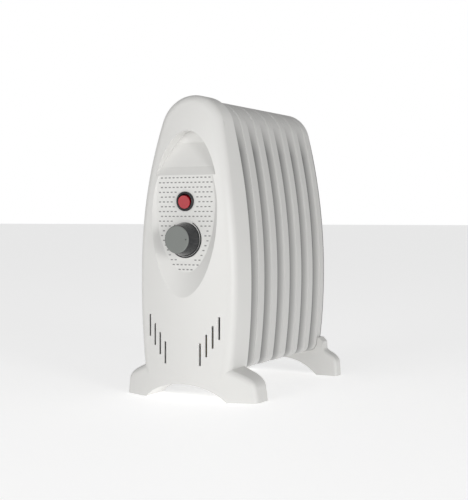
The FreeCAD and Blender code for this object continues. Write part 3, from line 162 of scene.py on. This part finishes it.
def make_surface_group():
    """Colour, roughness and height of a worked surface: fine grain, slow mottling and dust."""
    group = bpy.data.node_groups.new("worked_surface", "ShaderNodeTree")
    face = group.interface
    face.new_socket("Vector", in_out="INPUT", socket_type="NodeSocketVector")
    face.new_socket("Color", in_out="INPUT", socket_type="NodeSocketColor")
    for name, value in (("Grain Scale", 900.0), ("Mottle", 0.04), ("Dust", 0.1), ("Roughness", 0.4),
                        ("Stretch", 1.0)):
        socket = face.new_socket(name, in_out="INPUT", socket_type="NodeSocketFloat")
        socket.default_value = value
    face.new_socket("Color", in_out="OUTPUT", socket_type="NodeSocketColor")
    face.new_socket("Roughness", in_out="OUTPUT", socket_type="NodeSocketFloat")
    face.new_socket("Height", in_out="OUTPUT", socket_type="NodeSocketFloat")
    nodes, links = group.nodes, group.links
    come = nodes.new("NodeGroupInput")
    leave = nodes.new("NodeGroupOutput")

    stretch = nodes.new("ShaderNodeCombineXYZ")
    stretch.inputs["Y"].default_value = 1.0
    stretch.inputs["Z"].default_value = 1.0
    links.new(come.outputs["Stretch"], stretch.inputs["X"])
    pulled = nodes.new("ShaderNodeVectorMath")
    pulled.operation = "MULTIPLY"
    links.new(come.outputs["Vector"], pulled.inputs[0])
    links.new(stretch.outputs["Vector"], pulled.inputs[1])
    grain = nodes.new("ShaderNodeTexNoise")
    grain.inputs["Detail"].default_value = 3.0
    links.new(pulled.outputs["Vector"], grain.inputs["Vector"])
    links.new(come.outputs["Grain Scale"], grain.inputs["Scale"])
    mottle = nodes.new("ShaderNodeTexNoise")
    mottle.inputs["Scale"].default_value = 14.0
    mottle.inputs["Detail"].default_value = 4.0
    links.new(come.outputs["Vector"], mottle.inputs["Vector"])

    centred = nodes.new("ShaderNodeMath")
    centred.operation = "SUBTRACT"
    centred.inputs[1].default_value = 0.5
    links.new(mottle.outputs["Fac"], centred.inputs[0])
    scaled = nodes.new("ShaderNodeMath")
    scaled.operation = "MULTIPLY_ADD"
    scaled.inputs[2].default_value = 1.0
    links.new(centred.outputs["Value"], scaled.inputs[0])
    links.new(come.outputs["Mottle"], scaled.inputs[1])
    tint = nodes.new("ShaderNodeVectorMath")
    tint.operation = "SCALE"
    links.new(come.outputs["Color"], tint.inputs[0])
    links.new(scaled.outputs["Value"], tint.inputs["Scale"])

    place = nodes.new("ShaderNodeNewGeometry")
    split = nodes.new("ShaderNodeSeparateXYZ")
    links.new(place.outputs["Normal"], split.inputs["Vector"])
    upward = nodes.new("ShaderNodeMapRange")
    upward.inputs["From Min"].default_value = 0.6
    upward.inputs["From Max"].default_value = 1.0
    links.new(split.outputs["Z"], upward.inputs["Value"])
    dust = nodes.new("ShaderNodeMath")
    dust.operation = "MULTIPLY"
    links.new(upward.outputs["Result"], dust.inputs[0])
    links.new(come.outputs["Dust"], dust.inputs[1])
    patchy = nodes.new("ShaderNodeMath")
    patchy.operation = "MULTIPLY"
    links.new(dust.outputs["Value"], patchy.inputs[0])
    links.new(grain.outputs["Fac"], patchy.inputs[1])
    mix = nodes.new("ShaderNodeMix")
    mix.data_type = "RGBA"
    mix.inputs["B"].default_value = (0.55, 0.53, 0.50, 1.0)
    links.new(patchy.outputs["Value"], mix.inputs["Factor"])
    links.new(tint.outputs["Vector"], mix.inputs["A"])
    links.new(mix.outputs["Result"], leave.inputs["Color"])

    rough = nodes.new("ShaderNodeMath")
    rough.operation = "MULTIPLY_ADD"
    rough.inputs[1].default_value = 0.12
    links.new(centred.outputs["Value"], rough.inputs[0])
    links.new(come.outputs["Roughness"], rough.inputs[2])
    dusty = nodes.new("ShaderNodeMath")
    dusty.operation = "ADD"
    dusty.use_clamp = True
    links.new(rough.outputs["Value"], dusty.inputs[0])
    links.new(patchy.outputs["Value"], dusty.inputs[1])
    links.new(dusty.outputs["Value"], leave.inputs["Roughness"])
    links.new(grain.outputs["Fac"], leave.inputs["Height"])
    return group


surface_group = make_surface_group()


def make_material(name, colour, roughness, grain=900.0, mottle=0.05, dust=0.1, bump=0.05, metallic=0.0,
                  coat=0.0, stretch=1.0, reach=0.0002, alpha=1.0):
    """A material from the shared surface effects, with its own gloss."""
    material = bpy.data.materials.new(name)
    material.use_nodes = True
    nodes, links = material.node_tree.nodes, material.node_tree.links
    shader = nodes["Principled BSDF"]
    shader.inputs["Metallic"].default_value = metallic
    shader.inputs["Coat Weight"].default_value = coat
    shader.inputs["Coat Roughness"].default_value = 0.12
    shader.inputs["Alpha"].default_value = alpha
    effects = nodes.new("ShaderNodeGroup")
    effects.node_tree = surface_group
    effects.inputs["Color"].default_value = (*colour, 1.0)
    effects.inputs["Grain Scale"].default_value = grain
    effects.inputs["Mottle"].default_value = mottle
    effects.inputs["Dust"].default_value = dust
    effects.inputs["Roughness"].default_value = roughness
    effects.inputs["Stretch"].default_value = stretch
    coords = nodes.new("ShaderNodeTexCoord")
    links.new(coords.outputs["Object"], effects.inputs["Vector"])
    links.new(effects.outputs["Color"], shader.inputs["Base Color"])
    links.new(effects.outputs["Roughness"], shader.inputs["Roughness"])
    relief = nodes.new("ShaderNodeBump")
    relief.inputs["Strength"].default_value = bump
    relief.inputs["Distance"].default_value = reach
    links.new(effects.outputs["Height"], relief.inputs["Height"])
    links.new(relief.outputs["Normal"], shader.inputs["Normal"])
    return material


def knob_material():
    """Matt grey on the knob's flat face and glossy black down its side."""
    material = make_material("knob_two_tone", (0.2, 0.212, 0.2), KNOB_FACE_ROUGHNESS, grain=1500.0,
                             bump=0.12, dust=0.0)
    nodes, links = material.node_tree.nodes, material.node_tree.links
    shader = nodes["Principled BSDF"]
    effects = next(n for n in nodes if n.type == "GROUP")
    coords = next(n for n in nodes if n.type == "TEX_COORD")
    split = nodes.new("ShaderNodeSeparateXYZ")
    links.new(coords.outputs["Object"], split.inputs["Vector"])
    side = nodes.new("ShaderNodeMapRange")
    side.inputs["From Min"].default_value = KNOB_BOX[0][1] + KNOB_FACE_END
    side.inputs["From Max"].default_value = KNOB_BOX[0][1] + KNOB_SIDE_START
    links.new(split.outputs["Y"], side.inputs["Value"])
    mix = nodes.new("ShaderNodeMix")
    mix.data_type = "RGBA"
    mix.inputs["B"].default_value = (0.02, 0.021, 0.023, 1.0)
    links.new(side.outputs["Result"], mix.inputs["Factor"])
    links.new(effects.outputs["Color"], mix.inputs["A"])
    links.new(mix.outputs["Result"], shader.inputs["Base Color"])
    smooth = nodes.new("ShaderNodeMapRange")
    smooth.inputs["To Min"].default_value = KNOB_FACE_ROUGHNESS
    smooth.inputs["To Max"].default_value = KNOB_SIDE_ROUGHNESS
    links.new(side.outputs["Result"], smooth.inputs["Value"])
    links.new(smooth.outputs["Result"], shader.inputs["Roughness"])
    return material


def make_groove_group():
    """Painted shade for the gaps between fins: how far down a fin's turned-in rim a spot lies, 1 at the
    innermost, fading out towards the top; and the dark seam lines.
    """
    group = bpy.data.node_groups.new("groove_shade_and_seam", "ShaderNodeTree")
    face = group.interface
    face.new_socket("Vector", in_out="INPUT", socket_type="NodeSocketVector")
    face.new_socket("Groove Shade", in_out="OUTPUT", socket_type="NodeSocketFloat")
    face.new_socket("Seam", in_out="OUTPUT", socket_type="NodeSocketFloat")
    nodes, links = group.nodes, group.links
    come = nodes.new("NodeGroupInput")
    leave = nodes.new("NodeGroupOutput")
    split = nodes.new("ShaderNodeSeparateXYZ")
    links.new(come.outputs["Vector"], split.inputs["Vector"])
    along = nodes.new("ShaderNodeMath")
    along.operation = "SUBTRACT"
    along.inputs[1].default_value = FIRST_SEAM_Y - FIN_PITCH
    links.new(split.outputs["Y"], along.inputs[0])
    turn = nodes.new("ShaderNodeMath")
    turn.operation = "MODULO"
    turn.inputs[1].default_value = FIN_PITCH
    links.new(along.outputs["Value"], turn.inputs[0])
    deep = nodes.new("ShaderNodeMapRange")
    deep.inputs["From Min"].default_value = FIN_PITCH
    deep.inputs["From Max"].default_value = GROOVE_START
    links.new(turn.outputs["Value"], deep.inputs["Value"])
    rim = nodes.new("ShaderNodeMath")
    rim.operation = "GREATER_THAN"
    rim.inputs[1].default_value = GROOVE_START
    links.new(turn.outputs["Value"], rim.inputs[0])
    within = nodes.new("ShaderNodeMath")
    within.operation = "MULTIPLY"
    links.new(deep.outputs["Result"], within.inputs[0])
    links.new(rim.outputs["Value"], within.inputs[1])
    low = nodes.new("ShaderNodeMapRange")
    low.inputs["From Min"].default_value = GROOVE_END_Z
    low.inputs["From Max"].default_value = GROOVE_FULL_Z
    links.new(split.outputs["Z"], low.inputs["Value"])
    groove_shade = nodes.new("ShaderNodeMath")
    groove_shade.operation = "MULTIPLY"
    links.new(within.outputs["Value"], groove_shade.inputs[0])
    links.new(low.outputs["Result"], groove_shade.inputs[1])
    links.new(groove_shade.outputs["Value"], leave.inputs["Groove Shade"])
    seam = nodes.new("ShaderNodeMath")
    seam.operation = "LESS_THAN"
    seam.inputs[1].default_value = SEAM_LINE
    links.new(turn.outputs["Value"], seam.inputs[0])
    links.new(seam.outputs["Value"], leave.inputs["Seam"])
    return group


def fin_material():
    """Stoved enamel, with painted shade darkening the turned-in rims where the gaps between fins fall in
    shadow, and dark lines along the welded seams.
    """
    material = make_material("fin_enamel", (0.62, 0.615, 0.60), 0.38, grain=420.0, mottle=0.03, dust=0.12,
                             bump=0.10)
    nodes, links = material.node_tree.nodes, material.node_tree.links
    shader = nodes["Principled BSDF"]
    effects = next(n for n in nodes if n.type == "GROUP")
    coords = next(n for n in nodes if n.type == "TEX_COORD")
    grooves = nodes.new("ShaderNodeGroup")
    grooves.node_tree = make_groove_group()
    links.new(coords.outputs["Object"], grooves.inputs["Vector"])
    colour = effects.outputs["Color"]
    # The first tone is painted shade in the gaps between the fins; the second is the dark line of the welded
    # seam.
    for name, tone in (("Groove Shade", (0.10, 0.10, 0.10, 1.0)), ("Seam", (0.30, 0.30, 0.29, 1.0))):
        mix = nodes.new("ShaderNodeMix")
        mix.data_type = "RGBA"
        mix.inputs["B"].default_value = tone
        links.new(grooves.outputs[name], mix.inputs["Factor"])
        links.new(colour, mix.inputs["A"])
        colour = mix.outputs["Result"]
    links.new(colour, shader.inputs["Base Color"])
    return material


MATERIALS = {
    "fin_enamel": fin_material(),
    "white_moulding": make_material("white_moulding", (0.74, 0.735, 0.715), 0.42, grain=1800.0, mottle=0.03,
                                    dust=0.06, bump=0.08),
    "zinc_steel": make_material("zinc_steel", (0.62, 0.63, 0.64), 0.35, grain=300.0, mottle=0.25, dust=0.1,
                                metallic=1.0, stretch=6.0),
    "mild_steel": make_material("mild_steel", (0.42, 0.42, 0.43), 0.4, grain=350.0, mottle=0.2, dust=0.1,
                                metallic=1.0, stretch=8.0),
    "brass_turned": make_material("brass_turned", (0.78, 0.58, 0.26), 0.3, grain=500.0, mottle=0.2,
                                  dust=0.05, metallic=1.0, stretch=5.0),
    "sheath_steel": make_material("sheath_steel", (0.3, 0.29, 0.28), 0.5, grain=260.0, mottle=0.3, dust=0.0,
                                  metallic=1.0),
    "gasket_fibre": make_material("gasket_fibre", (0.14, 0.2, 0.15), 0.9, grain=700.0, mottle=0.3, dust=0.0,
                                  bump=0.4),
    "white_ceramic": make_material("white_ceramic", (0.82, 0.8, 0.75), 0.7, grain=900.0, mottle=0.08,
                                   bump=0.2),
    "bimetal": make_material("bimetal", (0.62, 0.56, 0.48), 0.35, grain=400.0, mottle=0.2, metallic=1.0,
                             stretch=6.0),
    "black_moulding": make_material("black_moulding", (0.014, 0.014, 0.016), 0.3, grain=1600.0, mottle=0.2,
                                    dust=0.02, bump=0.04),
    "red_lens": make_material("red_lens", (0.42, 0.012, 0.022), 0.16, grain=500.0, mottle=0.15, dust=0.0,
                              bump=0.02, coat=0.8),
    "lamp_glass": make_material("lamp_glass", (0.9, 0.8, 0.7), 0.05, grain=300.0, mottle=0.1, dust=0.0,
                                alpha=0.35),
    "grey_moulding": knob_material(),
    "block_moulding": make_material("block_moulding", (0.8, 0.78, 0.72), 0.6, grain=1200.0, mottle=0.08,
                                    bump=0.12),
    "black_rubber": make_material("black_rubber", (0.022, 0.022, 0.022), 0.75, grain=1100.0, mottle=0.3,
                                  dust=0.2, bump=0.25),
    "wire_sleeve": make_material("wire_sleeve", (0.7, 0.68, 0.6), 0.55, grain=800.0, mottle=0.12, bump=0.2),
}
print_black = make_material("print_black", (0.02, 0.02, 0.022), 0.6, grain=2000.0, mottle=0.3, dust=0.0,
                            bump=0.1)
# Dark grey on the raised pads is painted shade, standing for the shadow under each pad.
pad_painted_shade = make_material("pad_painted_shade", (0.24, 0.24, 0.235), 0.5, grain=1800.0, mottle=0.05, dust=0.0, bump=0.08)
floor_white = make_material("floor_white", (0.86, 0.86, 0.86), 0.7, grain=60.0, mottle=0.01, dust=0.0,
                            bump=0.01)
floor_glow = floor_white.node_tree.nodes["Principled BSDF"]
floor_glow.inputs["Emission Color"].default_value = (1.0, 1.0, 1.0, 1.0)
floor_glow.inputs["Emission Strength"].default_value = FLOOR_GLOW

# ---------------------------------------------------------------- modelling helpers


def nothing_selected():
    if bpy.context.object and bpy.context.object.mode != "OBJECT":
        bpy.ops.object.mode_set(mode="OBJECT")
    bpy.ops.object.select_all(action="DESELECT")


def finish_piece(piece, name, body, material):
    """Name a new piece, bake its place into the mesh, and tie it to its body and finish."""
    piece.name = name
    bpy.ops.object.transform_apply(location=True, rotation=True, scale=True)
    piece.data.materials.clear()
    piece.data.materials.append(material)
    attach(piece, body)
    return piece


def apply_modifier(piece, kind, **settings):
    modifier = piece.modifiers.new(kind.lower(), kind)
    for key, value in settings.items():
        setattr(modifier, key, value)
    bpy.ops.object.modifier_apply(modifier=modifier.name)


def recalculate_normals():
    bpy.ops.object.mode_set(mode="EDIT")
    bpy.ops.mesh.select_all(action="SELECT")
    bpy.ops.mesh.normals_make_consistent(inside=False)
    bpy.ops.object.mode_set(mode="OBJECT")


# ---------------------------------------------------------------- raised pads on the panel

def pad_places():
    """Staggered rows over the panel, clear of the dial, the switch and the panel's edge."""
    places = []
    row = 0
    z = PAD_ZONE_TOP
    while z > PAD_ZONE_BOTTOM:
        reach = 1.0 - ((z - PANEL_WIDEST_Z) / PANEL_HALF_HEIGHT) ** 2
        half = PANEL_HALF_WIDTH * math.sqrt(max(reach, 0.0))
        start = PAD_COLUMN_PITCH / 2.0 if row % 2 else 0.0
        count = int(half / PAD_COLUMN_PITCH) + 1
        for i in range(-count, count + 1):
            x = start + i * PAD_COLUMN_PITCH
            if abs(x) + PAD_WIDTH / 2.0 > half:
                continue
            if math.hypot(x, z - KNOB_Z) < DIAL_CLEAR_R or math.hypot(x, z - SWITCH_Z) < BEZEL_CLEAR_R:
                continue
            places.append((x, z))
        z -= PAD_ROW_PITCH
        row += 1
    return places


def make_pads():
    """One pad with a drawn-in front face, copied to every place and joined; its dark grey is painted shade
    standing for the shadow under each raised pad.
    """
    nothing_selected()
    bpy.ops.mesh.primitive_cube_add(size=1.0, location=(0, 0, 0))
    pad = bpy.context.object
    pad.scale = (PAD_WIDTH, PAD_PROUD, PAD_HEIGHT)
    bpy.ops.object.transform_apply(location=False, rotation=False, scale=True)
    apply_modifier(pad, "BEVEL", width=PAD_PROUD / 2.5, segments=2)
    copies = []
    for x, z in pad_places():
        copy = pad.copy()
        copy.data = pad.data.copy()
        copy.location = (x, PANEL_Y - PAD_PROUD / 2.0 + PAD_PROUD / 10.0, z)
        bpy.context.collection.objects.link(copy)
        copies.append(copy)
    bpy.data.objects.remove(pad)
    nothing_selected()
    for copy in copies:
        copy.select_set(True)
    bpy.context.view_layer.objects.active = copies[0]
    bpy.ops.object.join()
    finish_piece(bpy.context.object, "panel_pads", "heater", pad_painted_shade)


# ---------------------------------------------------------------- printed temperature scale

def make_scale_band(name, first, last):
    """A printed band round the knob that grows thicker towards the lower right.

    The angles run anticlockwise from the right, in degrees."""
    nothing_selected()
    steps = max(int((last - first) / SCALE_STEP), 4)
    bpy.ops.mesh.primitive_grid_add(x_subdivisions=steps, y_subdivisions=1, size=1.0)
    band = bpy.context.object
    for vertex in band.data.vertices:
        angle = math.radians(first + (vertex.co.x + 0.5) * (last - first))
        thick = SCALE_WIDTH + SCALE_SHIFT * math.cos(angle + math.radians(45.0))
        radius = SCALE_OUTER_R - (0.5 - vertex.co.y) * thick
        vertex.co = (radius * math.cos(angle), DIAL_Y - PRINT_THICK / 4.0, KNOB_Z + radius * math.sin(angle))
    recalculate_normals()
    apply_modifier(band, "SOLIDIFY", thickness=PRINT_THICK, offset=0.0)
    finish_piece(band, name, "heater", print_black)


# ---------------------------------------------------------------- soft ring round the rocker

def make_bezel_ring():
    """The bezel's rounded front edge."""
    nothing_selected()
    bpy.ops.mesh.primitive_torus_add(major_segments=BEZEL_RING_STEPS, minor_segments=BEZEL_TUBE_STEPS,
                                     major_radius=BEZEL_RING_R, minor_radius=BEZEL_TUBE_R,
                                     location=(0, SWITCH_BOX[0][1] + BEZEL_RING_SET_BACK, SWITCH_Z),
                                     rotation=(math.radians(90.0), 0, 0))
    ring = bpy.context.object
    bpy.ops.object.shade_smooth()
    finish_piece(ring, "bezel_soft_edge", "heater", MATERIALS["black_moulding"])


def make_pointer():
    """The small flush mark near the edge of the knob's face."""
    nothing_selected()
    bpy.ops.mesh.primitive_cylinder_add(vertices=POINTER_SIDES, radius=POINTER_R, depth=PRINT_THICK,
                                        location=(POINTER_X, KNOB_BOX[0][1] + PRINT_THICK / 2.0, KNOB_Z),
                                        rotation=(math.radians(90.0), 0, 0))
    dot = bpy.context.object
    apply_modifier(dot, "BEVEL", width=PRINT_THICK / 4.0, segments=2)
    finish_piece(dot, "knob_pointer", "knob", print_black)


def add_floor():
    """A plain pale floor."""
    nothing_selected()
    bpy.ops.mesh.primitive_plane_add(size=FLOOR_SIZE, location=(0, 0, 0))
    floor = bpy.context.object
    floor.name = "floor"
    floor.data.materials.append(floor_white)


# ---------------------------------------------------------------- the whole scene

add_camera()
add_floor()
add_world(WORLD_LIGHT, BACKDROP)
add_light("key_right", (2.6, -1.5, 0.45), LAMP_TARGET, (0.8, 0.9), KEY_POWER)
add_light("fill_front", (-0.3, -2.6, 0.7), LAMP_TARGET, (1.2, 1.0), FILL_POWER)
bpy.context.scene.view_settings.view_transform = "Standard"

for part in frame["record"]["subparts"]:
    node = frame["nodes"][part["node"]]
    node.data.materials.clear()
    node.data.materials.append(MATERIALS[part["material_slot"]])

make_pads()
make_scale_band("dial_scale", SCALE_START, SCALE_END)
make_scale_band("dial_tick", TICK_START, TICK_END)
make_bezel_ring()
make_pointer()
